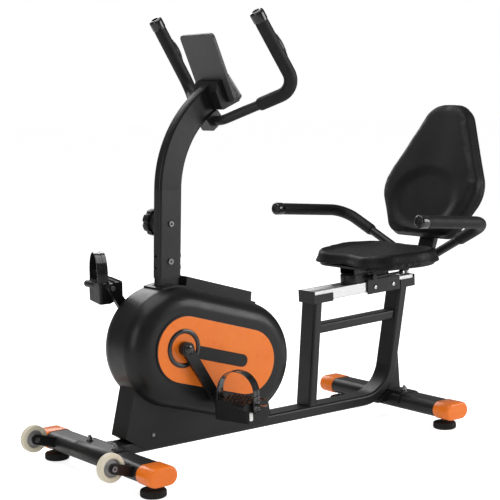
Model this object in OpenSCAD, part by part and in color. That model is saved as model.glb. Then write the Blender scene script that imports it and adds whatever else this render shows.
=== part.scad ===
// Recumbent exercise bike with a belt drive, magnetic brake and sliding seat.
// Millimetres, +Z up. The rider faces -X; the rider's left is -Y.
// The origin is on the floor, under the middle of the bike.

/* [Base] */
// Distance between the front and rear stabiliser tubes
wheelbase = 982; // [960:1:1000]
// Length of each stabiliser tube without its end caps
stabiliser_len = 496; // [470:1:510]
// Width of the stabiliser tubes
stabiliser_w = 80; // [78:1:82]
// Height of the stabiliser tubes
stabiliser_h = 44; // [43:1:45]
// Diameter of the levelling feet
foot_d = 64; // [50:1:70]
// Diameter of the transport wheels
wheel_d = 70; // [60:1:72]

/* [Frame] */
// Width of the main beam across the bike
beam_w = 60; // [58:1:60]
// Height of the main beam
beam_h = 30; // [29:1:30]
// Lean of the seat's front post from vertical
seat_post_lean = 5; // [4:0.5:6]
// Rise of the seat rail toward the rear
rail_rise = 2.1; // [1.8:0.1:2.4]

/* [Drive] */
// Length of each crank, axle centre to pedal centre
crank_len = 170; // [165:1:172]
// Diameter of the drive pulley
pulley_d = 210; // [190:1:216]
// Diameter of the flywheel
flywheel_d = 200; // [180:1:204]
// Angle of the left crank below the horizontal, toward the rear
crank_angle = 57; // [55:1:60]

/* [Shroud] */
// Radius of the shroud's round ends
shroud_r = 153; // [150:1:154]
// Half of the shroud's width
shroud_half = 82; // [80:1:83]
// Radius of the orange side panels
panel_r = 84; // [80:1:90]

/* [Handlebar] */
// Diameter of the handlebar and armrest tubes
bar_d = 25; // [24:0.5:26]
// Diameter of the foam grips
grip_d = 34; // [32:0.5:36]

/* [Seat] */
// Width of the seat
seat_w = 356; // [346:2:360]
// Length of the seat
seat_len = 283; // [275:1:290]
// Lean of the backrest from vertical
back_lean = 20; // [18:0.5:22]
// How far the seat is slid forward from its rear stop
seat_forward = 0; // [0:1:120]

/* [Hidden] */
$fn = 64;
front_x = -571.5;               // the front stabiliser's place along X
clear = 0.3;                    // gap between parts that move on each other
stab_z = 55;
cap_len = 20;
foot_y = [223, 217.5];          // front and rear feet, from the middle
foot_h = 19;
fork_x = -90;
fork_z = 77;
wheel_y = 181;
wheel_w = 18;
saddle_t = 4;
beam_z = 64;
beam_wall = 2;
beam_bend = 110;
rear_lean = 11;
rear_post_x = wheelbase - 33;   // where the centre lines of the beam and rear post cross
rear_cut = beam_bend * tan((90 - rear_lean) / 2);
crank_x = 194;
crank_z = 309;
shroud_c = [200, 305];          // centre of the shroud's front end, in XZ
tilt = 16.3;                    // slope of the shroud, down toward the rear
shroud_len = 210;
wall = 3;
panel_t = 3;
post_w = 70;
post_t = 30;
post_x = 206;                   // the handlebar post's centre at its lower end
post_z = 478;
post_lean = 2.2;
post_bend = 279;
post_turn = 60;
post_straight = 222;
neck_top = 570;
rail_x = 670;
rail_z = 396;
rail_len = 376;
rail_w = 60;
rail_h = 30;

// Everything is laid out from the front stabiliser, then moved to the bike's own middle.
module placed() translate([front_x, 0, 0]) children();

module rounded_rect(w, h, r) {
    square([w - 2 * r, h], center = true);
    square([w, h - 2 * r], center = true);
    for (x = [-1, 1], y = [-1, 1])
        translate([x * (w / 2 - r), y * (h / 2 - r)]) circle(r);
}

module rect_tube(w, h, r, t) {
    difference() {
        rounded_rect(w, h, r);
        rounded_rect(w - 2 * t, h - 2 * t, max(r - t, 0.5));
    }
}

// An oblong with round ends, from the origin to a distance d along X.
module oblong(r, d) {
    circle(r);
    translate([d, 0]) circle(r);
    translate([0, -r]) square([d, 2 * r]);
}

// The outline of a belt round two circles a distance d apart.
// Its straight sides lie a hair inside the true tangents, so that they cross the circles.
module belt_outline(r1, r2, d) {
    a = acos((r1 - r2) / d);
    hair = 0.04;
    p = (r1 - hair) * [cos(a), sin(a)];
    q = (r2 - hair) * [cos(a), sin(a)];
    circle(r1);
    translate([d, 0]) circle(r2);
    polygon([p, [p.x, -p.y], [d + q.x, -q.y], [d + q.x, q.y]]);
}

function unit(v) = v / norm(v);
function cols(ex, ey, ez, o) = [
    [ex.x, ey.x, ez.x, o.x], [ex.y, ey.y, ez.y, o.y],
    [ex.z, ey.z, ez.z, o.z], [0, 0, 0, 1]];

// A round bar between two points, bored when the bore isn't zero.
module rod(a, b, d, bore = 0) {
    v = b - a;
    len = norm(v);
    translate(a) rotate([0, acos(v.z / len), atan2(v.y, v.x)])
        linear_extrude(len) ring2d(d, bore);
}

module ring2d(d, bore) {
    difference() {
        circle(d = d);
        if (bore > 0) circle(d = bore);
    }
}

// A round bar through a list of points, with a bend of radius r at each inner one.
// The straights run 0.3 mm into the bends, which are 0.05 mm slimmer, so that all join.
module bent_rod(pts, d, r, bore = 0) {
    n = len(pts);
    function half_angle(i) = acos(unit(pts[i - 1] - pts[i]) * unit(pts[i + 1] - pts[i])) / 2;
    function cut(i) = i == 0 || i == n - 1 ? 0 : r / tan(half_angle(i));
    for (i = [0:n - 2]) {
        u = unit(pts[i + 1] - pts[i]);
        rod(pts[i] + u * (cut(i) - (i > 0 ? 0.3 : 0)),
            pts[i + 1] - u * (cut(i + 1) - (i < n - 2 ? 0.3 : 0)), d, bore);
    }
    for (i = [1:n - 2]) {
        u1 = unit(pts[i - 1] - pts[i]);
        u2 = unit(pts[i + 1] - pts[i]);
        h = half_angle(i);
        c = pts[i] + unit(u1 + u2) * r / sin(h);
        ex = unit(pts[i] + u1 * cut(i) - c);
        ez = unit(cross(u2, u1));
        multmatrix(cols(ex, cross(ez, ex), ez, c))
            rotate_extrude(angle = 180 - 2 * h) translate([r, 0])
                ring2d(d - 0.1, bore > 0 ? bore + 0.1 : 0);
    }
}

// A disc or cylinder whose axis is along Y, from y0 to y1.
module disc_y(x, z, r, y0, y1) {
    translate([x, y1, z]) rotate([90, 0, 0]) cylinder(r = r, h = y1 - y0);
}

// A flat shape drawn in XZ and given thickness from y0 to y1.
module plate_y(y0, y1) {
    translate([0, y1, 0]) rotate([90, 0, 0]) linear_extrude(y1 - y0) children();
}

// Frame

module rail_frame() translate([rail_x, 0, rail_z]) rotate([0, -rail_rise, 0]) children();

// Everything above the rail brackets' undersides.
module above_rail_seats() {
    rail_frame() translate([-80, -60, -rail_h - 4.1]) cube([560, 120, 300]);
}

module beam_profile(slim = 0)
    rect_tube(beam_h - slim, beam_w - slim, 7 - slim / 2, beam_wall - slim);

module main_beam() placed() color("#1b1b1d") {
    x0 = stabiliser_w / 2 + saddle_t + 2;
    bend_x = rear_post_x - rear_cut;
    translate([x0, 0, beam_z]) rotate([0, 90, 0]) linear_extrude(bend_x - x0 + 0.3) beam_profile();
    translate([bend_x, 0, beam_z + beam_bend]) rotate([90, 0, 0]) rotate([0, 0, -90])
        rotate_extrude(angle = 90 - rear_lean) translate([beam_bend, 0]) beam_profile(0.1);
    difference() {
        translate([rear_post_x, 0, beam_z]) rotate([0, rear_lean, 0])
            translate([0, 0, rear_cut - 0.3]) linear_extrude(330 - rear_cut) beam_profile();
        above_rail_seats();
    }
}

// The upright carries the bottom bracket and, at its top, the handlebar post.
module upright_tube() placed() color("#1b1b1d") {
    x_low = post_x - (post_z - beam_z - beam_h / 2) * tan(post_lean);
    h = (neck_top - beam_z - beam_h / 2) / cos(post_lean);
    difference() {
        union() {
            intersection() {
                translate([x_low, 0, beam_z + beam_h / 2]) rotate([0, post_lean, 0])
                    translate([0, 0, -5]) linear_extrude(h + 5)
                        rounded_rect(post_w - 4.6, post_t - 4.6, 5);
                translate([0, -50, beam_z + beam_h / 2 + 0.05]) cube([400, 100, 900]);
            }
            disc_y(crank_x, crank_z, 21, -34, 34);
        }
        translate([x_low, 0, beam_z + beam_h / 2]) rotate([0, post_lean, 0])
            translate([0, 0, -6]) linear_extrude(190) rounded_rect(post_w - 8.6, post_t - 8.6, 3);
        translate([x_low, 0, beam_z + beam_h / 2]) rotate([0, post_lean, 0])
            translate([0, 0, 255]) linear_extrude(h) rounded_rect(post_w - 8.6, post_t - 8.6, 3);
        disc_y(crank_x, crank_z, 17.5, -40, 40);
        post_bolt_holes(4.2);
        translate([post_axis_x(400), 0, 395]) rotate([0, 90, 0]) cylinder(r = 4, h = 60);
    }
}

function post_axis_x(z) = post_x + (z - post_z) * tan(post_lean);

// Where the handlebar post is bolted: one bolt across the bike and two along it.
post_bolt_y = 520;
post_bolts_x = [503, 533];
knob_z = 615;
module post_bolt_holes(r) {
    disc_y(post_axis_x(post_bolt_y), post_bolt_y, r, -30, 30);
    for (z = post_bolts_x) translate([post_axis_x(z), 0, z]) rotate([0, 90 + post_lean, 0])
        translate([0, 0, -50]) cylinder(r = r, h = 100);
}

module seat_front_post() placed() color("#1b1b1d") {
    difference() {
        translate([662.5, 0, beam_z + beam_h / 2]) rotate([0, seat_post_lean, 0])
            translate([0, 0, -8]) linear_extrude(320) rect_tube(28, beam_w, 7, beam_wall);
        above_rail_seats();
        translate([600, -50, beam_z - 30]) cube([140, 100, 30 + beam_h / 2 + 0.05]);
    }
}

module frame_brace() placed() color("#1b1b1d") {
    difference() {
        translate([670, 0, 287.5]) rotate([0, 90 - 1.9, 0])
            linear_extrude(330) rect_tube(26, 40, 5, beam_wall);
        translate([662.5, 0, beam_z + beam_h / 2]) rotate([0, seat_post_lean, 0])
            translate([-86, -50, 0]) cube([100.05, 100, 320]);
        translate([rear_post_x, 0, beam_z]) rotate([0, rear_lean, 0])
            translate([-beam_h / 2 - 0.05, -50, 0]) cube([200, 100, 400]);
    }
}

module stabiliser_outline(grow = 0) {
    r = stabiliser_h / 2 + grow;
    translate([-stabiliser_w / 2 + stabiliser_h / 2, 0])
        oblong(r, stabiliser_w - stabiliser_h);
}

module saddle_shell() {
    difference() {
        stabiliser_outline(saddle_t);
        stabiliser_outline(0.1);
        translate([-60, -60]) square([120, 56]);
    }
}

module stabiliser_saddles() placed() color("#1b1b1d") {
    bend_x = rear_post_x - rear_cut;
    // front: a curved plate over the tube, and a block that the beam is welded to
    difference() {
        union() {
            plate_y(-78, 78) translate([0, stab_z]) saddle_shell();
            plate_y(-beam_w / 2, beam_w / 2) difference() {
                translate([30, 50]) square([stabiliser_w / 2 + saddle_t + 1.95 - 30, 28]);
                translate([0, stab_z]) stabiliser_outline(0.1);
            }
        }
        for (y = [-58, 58]) translate([0, y, 60]) cylinder(r = 4.2, h = 40);
    }
    // rear: the same plate, with a filler under the beam's bend
    difference() {
        union() {
            plate_y(-78, 78) translate([wheelbase, stab_z]) saddle_shell();
            plate_y(-beam_w / 2, beam_w / 2) difference() {
                translate([bend_x + 45, 50]) square([wheelbase - bend_x - 75, 28]);
                translate([wheelbase, stab_z]) stabiliser_outline(0.1);
                translate([bend_x, beam_z + beam_bend]) circle(beam_bend + beam_h / 2 + 0.1);
            }
        }
        for (y = [-58, 58]) translate([wheelbase, y, 60]) cylinder(r = 4.2, h = 40);
    }
    // gusset behind the rear post
    plate_y(-20, 20) difference() {
        z0 = stab_z + stabiliser_h / 2 + saddle_t + 0.05;
        c = [bend_x, beam_z + beam_bend];
        r = beam_bend + beam_h / 2 + 0.1;
        polygon([[bend_x + 70, z0], [wheelbase + 20, z0], [wheelbase + 11, 195],
                 c + [r * cos(rear_lean) + (195 - c.y + r * sin(rear_lean)) * tan(rear_lean),
                      195 - c.y],
                 c + r * [cos(rear_lean), -sin(rear_lean)], [bend_x + 100, 120]]);
        translate(c) circle(r);
    }
}

module rail_brackets() placed() color("#232325") rail_frame() {
    for (e = [[0, 66, -4], [324, rail_len, rail_len + 0.2]]) {
        u0 = min(e[0], e[2]);
        u1 = max(e[1], e[2] + 3.8);
        translate([u0, -33.2, -rail_h - 4]) cube([u1 - u0, 66.4, 3.9]);
        for (s = [-1, 1])
            translate([u0, s > 0 ? 30.2 : -33.2, -rail_h - 0.1]) cube([u1 - u0, 3, 20]);
        translate([e[2], -33.2, -rail_h - 0.1]) cube([3.8, 66.4, rail_h + 0.1]);
    }
}

module stabiliser_tube() {
    plate_y(-stabiliser_len / 2, stabiliser_len / 2) difference() {
        translate([0, stab_z]) stabiliser_outline();
        translate([0, stab_z]) stabiliser_outline(-2);
    }
}

module stabiliser_with_holes(feet_y) {
    difference() {
        stabiliser_tube();
        for (y = [-58, 58]) translate([0, y, 60]) cylinder(r = 4.2, h = 40);
        for (y = [-feet_y, feet_y]) translate([0, y, 20]) cylinder(r = 5 + clear, h = 20);
    }
}

module front_stabiliser() placed() color("#202022") stabiliser_with_holes(foot_y[0]);
module rear_stabiliser() placed() color("#202022")
    translate([wheelbase, 0, 0]) stabiliser_with_holes(foot_y[1]);

// A moulded end cap with a domed face and a plug that fits inside the tube.
module stabiliser_cap() {
    y0 = stabiliser_len / 2 + 0.05;
    plate_y(y0, y0 + cap_len * 0.6) translate([0, stab_z]) stabiliser_outline(1.2);
    plate_y(y0 + cap_len * 0.6, y0 + cap_len * 0.82) translate([0, stab_z])
        stabiliser_outline(-0.6);
    plate_y(y0 + cap_len * 0.82, y0 + cap_len) translate([0, stab_z]) stabiliser_outline(-5);
    plate_y(y0 - 9, y0) translate([0, stab_z]) stabiliser_outline(-2.2);
}

module stabiliser_caps() placed() color("#ef7a22")
    for (x = [0, wheelbase]) translate([x, 0, 0]) {
        stabiliser_cap();
        mirror([0, 1, 0]) stabiliser_cap();
    }

module hex_head(r, h) cylinder(r = r, h = h, $fn = 6);

// Bolts that hold the stabilisers, the handlebar post, the wheels and the shroud.
module frame_bolts() placed() color("#b9bcc0") {
    for (x = [0, wheelbase], y = [-58, 58]) translate([x, y, 0]) {
        translate([0, 0, stab_z + 4]) cylinder(r = 4, h = 36);
        translate([0, 0, stab_z + stabiliser_h / 2 + saddle_t + 0.1]) cylinder(r = 9, h = 2);
        translate([0, 0, stab_z + stabiliser_h / 2 + saddle_t + 2.1]) hex_head(7.5, 7);
    }
    half_t = post_t / 2 + 0.05;
    disc_y(post_axis_x(post_bolt_y), post_bolt_y, 4, -half_t, half_t);
    for (s = [-1, 1]) disc_y(post_axis_x(post_bolt_y), post_bolt_y, 7.5,
        min(s * half_t, s * (half_t + 4)), max(s * half_t, s * (half_t + 4)));
    for (z = post_bolts_x) translate([post_axis_x(z), 0, z]) rotate([0, 90 + post_lean, 0]) {
        translate([0, 0, -post_w / 2 + 6]) cylinder(r = 4, h = post_w - 5.9);
        translate([0, 0, post_w / 2 + 0.05]) cylinder(r = 6.5, h = 4);
    }
    disc_y(post_axis_x(knob_z), knob_z, 3, -half_t, half_t - 3);
    disc_y(post_axis_x(knob_z), knob_z, 7, -half_t - 4, -half_t);
    for (s = [-1, 1]) {
        y0 = s * wheel_y - wheel_w / 2 - 6.6;
        disc_y(fork_x, fork_z, 4, y0, y0 + wheel_w + 13.2);
        disc_y(fork_x, fork_z, 7, y0 - 4, y0);
        disc_y(fork_x, fork_z, 7, y0 + wheel_w + 13.2, y0 + wheel_w + 17.2);
    }
    for (s = [-1, 1]) {
        y0 = s > 0 ? beam_w / 2 + 4.05 : -beam_w / 2 - 6.05;
        disc_y(130, 90, 4.5, y0, y0 + 2);
    }
}

module wheel_forks() placed() {
    for (s = [-1, 1]) {
        color("#1a1a1c") for (t = [-1, 1]) {
            y0 = s * wheel_y + t * (wheel_w / 2 + 4) - 2.5;
            plate_y(y0, y0 + 5) difference() {
                translate([fork_x, fork_z]) rotate(-17) {
                    oblong(13, 66);
                }
                translate([0, stab_z]) stabiliser_outline(0.1);
                translate([fork_x, fork_z]) circle(4.1);
            }
        }
    }
}

// Wheels and feet

module transport_wheel(y) placed() color("#d8cfb8") {
    difference() {
        union() {
            disc_y(fork_x, fork_z, wheel_d / 2 - 2, y - wheel_w / 2, y + wheel_w / 2);
            disc_y(fork_x, fork_z, wheel_d / 2, y - wheel_w / 2 + 2, y + wheel_w / 2 - 2);
        }
        for (s = [-1, 1])
            translate([fork_x, y + s * wheel_w / 2, fork_z]) rotate([90, 0, 0])
                difference() {
                    cylinder(r = wheel_d / 2 - 12, h = 8, center = true);
                    cylinder(r = 10, h = 9, center = true);
                }
        disc_y(fork_x, fork_z, 4.05, y - wheel_w, y + wheel_w);
    }
}
module transport_wheel_left() transport_wheel(-wheel_y);
module transport_wheel_right() transport_wheel(wheel_y);

// A levelling foot: a rubber-faced disc on a threaded stem.
module levelling_foot(x, y) placed() color("#141414") translate([x, y, 0]) {
    rotate_extrude() polygon([[0, 0], [foot_d / 2 - 2, 0], [foot_d / 2, 2],
        [foot_d / 2, foot_h - 4], [foot_d / 2 - 4, foot_h], [12, foot_h], [12, foot_h + 5],
        [5, foot_h + 5], [5, stab_z - 2], [0, stab_z - 2]]);
}
module foot_front_left() levelling_foot(0, -foot_y[0]);
module foot_front_right() levelling_foot(0, foot_y[0]);
module foot_rear_left() levelling_foot(wheelbase, -foot_y[1]);
module foot_rear_right() levelling_foot(wheelbase, foot_y[1]);

// Shroud

// Half of the drum's section: radius along X, half of the bike's width along Y.
module shroud_section(r, half, edge) {
    square([r - edge, half]);
    square([r, half - edge]);
    intersection() {
        translate([r - edge, half - edge]) circle(edge);
        square([r, half]);
    }
}

module shroud_frame() translate([shroud_c.x, 0, shroud_c.y]) rotate([0, tilt, 0]) children();

// The +Y half of the drum: two round ends and the straight stretch between them.
module drum_half(r, half, edge) {
    for (x = [0, shroud_len]) translate([x, 0, 0]) rotate([-90, 0, 0]) rotate_extrude()
        shroud_section(r, half, edge);
    rotate([0, 90, 0]) linear_extrude(shroud_len) for (m = [0, 1]) mirror([m, 0])
        shroud_section(r, half, edge);
}

module drum_outline(grow) oblong(shroud_r + grow, shroud_len);

// A raised band along the drum's top, between two cut lines.
module top_band(grow, half, x0, x1) {
    plate_y(-1, half) intersection() {
        drum_outline(grow);
        polygon([[x0, 90], [x0 - 20, 220], [x1, 220], [x1, shroud_r + grow - 3],
                 [x1 + 16, 90]]);
    }
}

module skirt_outline() polygon([[80, 220], [49, 92], [105, 57], [478, 61], [508, 83],
    [500, 125], [460, 165], [300, 205]]);
module skirt_inside() polygon([[84, 220], [53, 95], [58, 30], [524, 30], [504, 86],
    [496, 125], [456, 165], [300, 200]]);

module shroud_half() {
    post_gap = [post_w + 2, post_t + 2];
    difference() {
        union() {
            shroud_frame() {
                drum_half(shroud_r, shroud_half, 50);
                top_band(4, 42, -72, 222);
                top_band(28, 30, 10, 212);
                plate_y(shroud_half - 1, shroud_half + 2.5) difference() {
                    oblong(panel_r + 4, shroud_len - 4);
                    oblong(panel_r + 0.3, shroud_len - 4);
                }
            }
            plate_y(-1, 34) skirt_outline();
        }
        shroud_frame() {
            drum_half(shroud_r - wall, shroud_half - wall, 50 - wall);
            mirror([0, 1, 0]) drum_half(shroud_r - wall, 5, 3);
            top_band(4 - wall, 42 - wall, -68, 218);
            top_band(28 - wall, 30 - wall, 14, 209);
        }
        plate_y(-2, 31) skirt_inside();
        translate([-200, -20, -50]) cube([1200, 20, 800]);
        disc_y(crank_x, crank_z, 14, 50, 100);
        translate([post_axis_x(460) - post_gap.x / 2, -1, 420])
            cube([post_gap.x, post_gap.y / 2 + 1, 90]);
    }
}
module shroud_right() placed() color("#17181a") shroud_half();
module shroud_left() placed() color("#17181a") mirror([0, 1, 0]) shroud_half();

// Cut-outs round the crank and along the panel's middle.
module inlay_outline(hub) {
    translate([hub.x, hub.y]) circle(49);
    translate([hub.x, hub.y - 2]) oblong(16, 191);
}
function hub_in_shroud() = let (d = [crank_x - shroud_c.x, crank_z - shroud_c.y])
    [d.x * cos(tilt) - d.y * sin(tilt), d.x * sin(tilt) + d.y * cos(tilt)];

module side_panel() {
    hub = hub_in_shroud();
    y0 = shroud_half + 0.05;
    shroud_frame() {
        plate_y(y0, y0 + panel_t) difference() {
            oblong(panel_r, shroud_len - 4);
            inlay_outline(hub);
        }
        plate_y(y0, y0 + panel_t) translate(hub) difference() {
            circle(37.9);
            circle(14);
        }
    }
}
module panel_right() placed() color("#f08233") side_panel();
module panel_left() placed() color("#f08233") mirror([0, 1, 0]) side_panel();

module panel_inlays() placed() color("#26272a") for (m = [0, 1]) mirror([0, m, 0])
    shroud_frame() plate_y(shroud_half + 0.05, shroud_half + panel_t + 1) difference() {
        hub = hub_in_shroud();
        inlay_outline(hub);
        translate(hub) circle(38);
    }

// Drive

module crank_bearings() placed() color("#a9acb0") for (m = [0, 1]) mirror([0, m, 0])
    difference() {
        disc_y(crank_x, crank_z, 17.4, 20, 34);
        disc_y(crank_x, crank_z, 8.55, 10, 40);
    }

// The axle, with a square end for each crank.
module crank_axle() placed() color("#8f9296") {
    disc_y(crank_x, crank_z, 8.5, -87, 87);
    for (s = [-1, 1]) translate([crank_x, s * 96, crank_z]) rotate([0, crank_angle, 0])
        cube([11.7, 18.4, 11.7], center = true);
    for (s = [-1, 1]) disc_y(crank_x, crank_z, 7, min(s * 105, s * 111), max(s * 105, s * 111));
}

module drive_pulley() placed() color("#303236") difference() {
    union() {
        disc_y(crank_x, crank_z, pulley_d / 2, 47, 59);
        disc_y(crank_x, crank_z, 22, 42, 64);
    }
    for (a = [0:60:300])
        disc_y(crank_x + 66 * cos(a), crank_z + 66 * sin(a), 22, 40, 70);
    disc_y(crank_x, crank_z, 8.5, 30, 80);
}

// A crank arm for the -Y side, pointing along +X from the axle.
module crank_arm() difference() {
    union() {
        disc_y(0, 0, 18, -105, -87.5);
        plate_y(-103, -90) belt_outline(15, 12, crank_len);
    }
    translate([0, -96, 0]) cube([12, 40, 12], center = true);
    disc_y(0, 0, 9.5, -110, -104.9);
    disc_y(crank_len, 0, 7, -120, -80);
}
module crank_left() placed() color("#161617")
    translate([crank_x, 0, crank_z]) rotate([0, crank_angle, 0]) crank_arm();
module crank_right() placed() color("#161617")
    translate([crank_x, 0, crank_z]) rotate([0, crank_angle + 180, 0])
        mirror([0, 1, 0]) crank_arm();

function pedal_centre(s) = [crank_x - s * crank_len * cos(crank_angle),
                            crank_z + s * crank_len * sin(crank_angle)];

module pedal_spindles() placed() color("#9a9da1") for (s = [-1, 1]) {
    c = pedal_centre(s);
    disc_y(c.x, c.y, 6.95, min(s * 88, s * 112), max(s * 88, s * 112));
    disc_y(c.x, c.y, 9, min(s * 103.1, s * 112), max(s * 103.1, s * 112));
    disc_y(c.x, c.y, 6, min(s * 111, s * 200), max(s * 111, s * 200));
}

// The pedal body for the -Y side: a weighted wedge that hangs level from its spindle,
// which lies on the Y axis.
module pedal_body() {
    difference() {
        union() {
            intersection() {
                translate([0, 0, -60]) linear_extrude(90) hull()
                    for (p = [[-17, -119], [40, -119], [64, -209], [9, -209]])
                        translate(p) circle(6, $fn = 16);
                plate_y(-220, -108)
                    polygon([[-32, 8], [-32, -43], [6, -43], [76, -14], [76, 12]]);
            }
            disc_y(0, 0, 9, -217, -113);
            translate([20, -226, -19]) cube([16, 14, 6.5]);
        }
        disc_y(0, 0, 6.05, -202, -100);
        for (y = [-200:12:-128]) translate([-40, y, 7.6]) cube([120, 4, 20]);
    }
}

// A strap arched over the pedal, with a ladder of holes and a free tail at its outer end.
strap_w = 28;
strap_t = 2.4;
strap_reach = 55;
module pedal_strap() translate([8.5, -171.5, 0]) rotate([0, 0, 20.74]) {
    difference() {
        translate([-strap_w / 2, 0, 0]) rotate([90, 0, 90]) linear_extrude(strap_w)
            difference() {
                strap_arch(strap_reach);
                strap_arch(strap_reach - strap_t);
                translate([-100, -60]) square([200, 48]);
                translate([0, -60]) square([100, 69.7]);
            }
        for (z = [-4, 6, 16]) translate([-9, -strap_reach - 3, z]) cube([18, 8, 5]);
    }
    translate([-10, -strap_reach - 27, 2]) cube([20, 28, strap_t]);
}
module strap_arch(r) {
    translate([0, 31]) circle(r);
    translate([-r, -30]) square([2 * r, 61]);
}

module pedal_at(s) {
    c = pedal_centre(s);
    translate([c.x, 0, c.y]) mirror([0, s > 0 ? 1 : 0, 0]) children();
}
module pedal_left() placed() color("#151516") pedal_at(-1) pedal_body();
module pedal_right() placed() color("#151516") pedal_at(1) pedal_body();
module strap_left() placed() color("#1d1e20") pedal_at(-1) pedal_strap();
module strap_right() placed() color("#1d1e20") pedal_at(1) pedal_strap();

// Belt, flywheel and brake, drawn in the shroud's frame about the crank axle.
fly_dist = 208;
small_pulley_r = 21;
module drive_frame() translate([crank_x, 0, crank_z]) rotate([0, tilt, 0]) children();

module drive_belt() placed() color("#101010") drive_frame() plate_y(47.5, 58.5) difference() {
    belt_outline(pulley_d / 2 + 4.3, small_pulley_r + 4.3, fly_dist);
    belt_outline(pulley_d / 2 + clear, small_pulley_r + clear, fly_dist);
}

module flywheel() placed() color("#6d7075") drive_frame() {
    difference() {
        union() {
            disc_y(fly_dist, 0, flywheel_d / 2, -12, 12);
            disc_y(fly_dist, 0, small_pulley_r, 12, 60);
            disc_y(fly_dist, 0, 26, -18, 12);
        }
        for (s = [-1, 1]) difference() {
            disc_y(fly_dist, 0, flywheel_d / 2 - 18, min(s * 5, s * 13), max(s * 5, s * 13));
            disc_y(fly_dist, 0, 27, -30, 30);
        }
        disc_y(fly_dist, 0, 6.05, -30, 70);
    }
}

// The flywheel's axle, and the two uprights that hold it on the main beam.
module flywheel_mount() placed() color("#3a3c40") {
    foot_z = beam_z + beam_h / 2 + 0.1;
    step_z = 118;
    disc_y(fly_x, fly_z, 6, -34, 70);
    disc_y(pivot.x, pivot.y, 4, -28, 15);
    difference() {
        union() {
            plate_y(-26, -21) {
                translate([fly_x, fly_z]) circle(16);
                translate([fly_x - 16, foot_z]) square([32, fly_z - foot_z]);
                translate([fly_x, fly_z]) rotate(pivot_a) belt_outline(14, 10, pivot_r);
            }
            plate_y(62, 67) {
                translate([fly_x, fly_z]) circle(16);
                translate([fly_x - 16, step_z]) square([32, fly_z - step_z]);
            }
            translate([fly_x - 16, 25, foot_z]) cube([32, 5, step_z + 5 - foot_z]);
            translate([fly_x - 16, 25, step_z]) cube([32, 42, 5]);
        }
        disc_y(fly_x, fly_z, 6.02, -30, 80);
        disc_y(pivot.x, pivot.y, 4.02, -30, 30);
    }
}

// A swinging shoe that carries magnets over the flywheel's rim, and its pivot.
fly_x = crank_x + fly_dist * cos(tilt);
fly_z = crank_z - fly_dist * sin(tilt);
shoe_r = flywheel_d / 2 + 4;
shoe_t = 8;
pivot_r = shoe_r + shoe_t + 7;
pivot_a = 20;                   // the pivot's angle round the flywheel
pivot = [fly_x + pivot_r * cos(pivot_a), fly_z + pivot_r * sin(pivot_a)];

module magnet_bracket() placed() color("#55585d") difference() {
    union() {
        plate_y(-13, 13) translate([fly_x, fly_z]) intersection() {
            circle(shoe_r + shoe_t);
            polygon([[0, 0], [160, 50], [160, 190], [20, 160]]);
        }
        disc_y(pivot.x, pivot.y, 11, -13, 13);
    }
    disc_y(fly_x, fly_z, shoe_r, -20, 20);
    disc_y(pivot.x, pivot.y, 4.05, -20, 20);
}

// The brake cable, from the tension knob down inside the post and over the flywheel.
module tension_cable() placed() color("#141414")
    bent_rod([[216, 10.5, 598], [218, 7.5, 580], [218, 7.5, 440], [212, 0, 395.5],
        [262, 0, 394], [330, 0, 402], [378, 0, 388]], 4, 12);

// Handlebar post and its tension knob

module post_frame() translate([post_x, 0, post_z]) rotate([0, post_lean, 0]) children();

module post_profile(grow, wall_t) {
    if (wall_t > 0)
        rect_tube(post_w + 2 * grow, post_t + 2 * grow, 8 + grow, wall_t);
    else
        rounded_rect(post_w + 2 * grow, post_t + 2 * grow, 8 + grow);
}

// The post's straight and bent stretches: solid when wall_t is zero, or else a tube.
module post_solid(grow, wall_t) post_frame() {
    linear_extrude(post_straight + 0.3) post_profile(grow, wall_t);
    translate([post_bend, 0, post_straight]) rotate([90, 0, 0])
        rotate([0, 0, 180 - post_turn]) rotate_extrude(angle = post_turn)
            translate([post_bend, 0]) post_profile(grow - 0.05, wall_t > 0 ? wall_t - 0.1 : 0);
}

module handlebar_post() placed() color("#1c1c1e") difference() {
    post_solid(0, 2);
    post_bolt_holes(4.2);
    disc_y(post_axis_x(knob_z), knob_z, 3.2, -30, 30);
    translate([216, 20, 598]) rotate([90, 0, 0]) cylinder(r = 5, h = 12);
}

module knob_housing() placed() color("#3c3e42") difference() {
    disc_y(post_axis_x(knob_z), knob_z, 29, post_t / 2 + 0.05, 39);
    disc_y(post_axis_x(knob_z), knob_z, 24, post_t / 2 - 1, 33);
    disc_y(post_axis_x(knob_z), knob_z, 6.05, 32, 50);
}

module tension_knob() placed() color("#1f2023") difference() {
    union() {
        disc_y(post_axis_x(knob_z), knob_z, 35, 40, 62);
        disc_y(post_axis_x(knob_z), knob_z, 28, 61, 68);
        disc_y(post_axis_x(knob_z), knob_z, 6, 26, 41);
    }
    for (a = [0:45:315])
        disc_y(post_axis_x(knob_z) + 39 * cos(a), knob_z + 39 * sin(a), 7, 39, 70);
}

// Handlebar

bar_centre = [352, 0, 870];
bar_bend_in = [352, 50, 870];
bar_bend_out = [455, 225, 948];
bar_top = [341, 217, 1126];
grip_start = bar_bend_in + 0.5 * (bar_bend_out - bar_bend_in);
function left(p) = [p.x, -p.y, p.z];

module handlebar() placed() color("#1b1b1d")
    bent_rod([left(bar_top), left(bar_bend_out), left(bar_bend_in),
        bar_bend_in, bar_bend_out, bar_top], bar_d, 48, bar_d - 3);

// A round cap on the end of a grip that comes up to point a from point b.
module grip_cap(a, b) {
    u = unit(a - b);
    rod(a + u * 0.1, a + u * 8, grip_d + 2);
    rod(a + u * 7.5, a + u * 12, grip_d - 4);
}

module handlebar_grips() placed() color("#121213") for (m = [0, 1]) mirror([0, m, 0]) {
    bent_rod([grip_start, bar_bend_out, bar_top], grip_d, 48, bar_d + 0.1);
    grip_cap(bar_top, bar_bend_out);
}

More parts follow.
